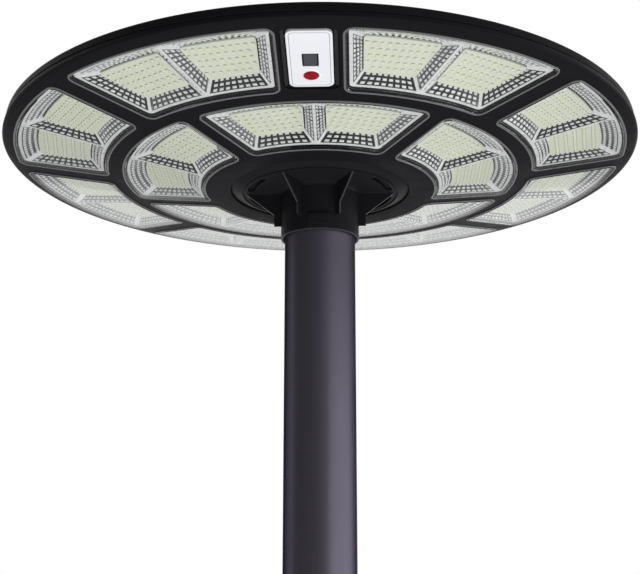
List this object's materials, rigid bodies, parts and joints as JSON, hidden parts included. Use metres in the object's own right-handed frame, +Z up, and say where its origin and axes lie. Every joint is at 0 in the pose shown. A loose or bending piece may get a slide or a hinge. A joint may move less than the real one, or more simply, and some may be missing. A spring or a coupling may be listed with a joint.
{
  "type": "solar street light",
  "caption": "Round solar street light on a steel pole: ring of reflector modules behind clear lenses, control panel with push button, solar panel on top, anchored base plate",
  "frame": {"origin": "on the ground under the middle of the pole, at the centre of the base plate's underside", "axes": "+Z runs up the pole, the control panel with the button faces -Y, +X is to the right when looking at the panel"},
  "size_m": [0.5405, 0.5406, 3.0444],
  "materials": {
    "head_black": "satin",
    "hub_black": "satin powder coat",
    "pole_paint": "satin",
    "lens_clear": "clear moulded",
    "reflector_silver": "metallised",
    "led_board": "solder mask with yellow phosphor dots",
    "label_white": "printed film, bare",
    "sensor_grey": "smoked",
    "button_red": "glossy",
    "screw_steel": "machined",
    "solar_backing": "white backing film",
    "solar_cell": "dark blue silicon",
    "solar_glass": "clear tempered"
  },
  "bodies": {
    "lamp": {"pole": "pole_paint", "base_plate": "pole_paint", "foot_gussets": "pole_paint", "mounting_hub": "hub_black", "clamp_screws": "screw_steel", "lower_housing": "head_black", "upper_cover": "head_black", "solar_backing": "solar_backing", "solar_cells": "solar_cell", "solar_glass": "solar_glass", "label_plate": "label_white", "sensor_window": "sensor_grey", "lens_outer_1": "lens_clear", "lens_outer_2": "lens_clear", "lens_outer_3": "lens_clear", "lens_outer_4": "lens_clear", "lens_outer_5": "lens_clear", "lens_outer_6": "lens_clear", "lens_outer_7": "lens_clear", "lens_outer_8": "lens_clear", "lens_inner_1": "lens_clear", "lens_inner_2": "lens_clear", "lens_inner_3": "lens_clear", "lens_inner_4": "lens_clear", "lens_inner_5": "lens_clear", "reflector_outer_1": "reflector_silver", "reflector_outer_2": "reflector_silver", "reflector_outer_3": "reflector_silver", "reflector_outer_4": "reflector_silver", "reflector_outer_5": "reflector_silver", "reflector_outer_6": "reflector_silver", "reflector_outer_7": "reflector_silver", "reflector_outer_8": "reflector_silver", "reflector_inner_1": "reflector_silver", "reflector_inner_2": "reflector_silver", "reflector_inner_3": "reflector_silver", "reflector_inner_4": "reflector_silver", "reflector_inner_5": "reflector_silver", "led_boards_outer": "led_board", "led_boards_inner": "led_board"},
    "button": {"power_button": "button_red"}
  },
  "joints": [
    {"name": "power_button_press", "type": "slide", "parent": "lamp", "child": "button", "axis": [0, 0.1478, 0.989], "range_m": [0, 0.0012], "stiffness_N_per_m": 800, "springref_m": -0.002}
  ]
}
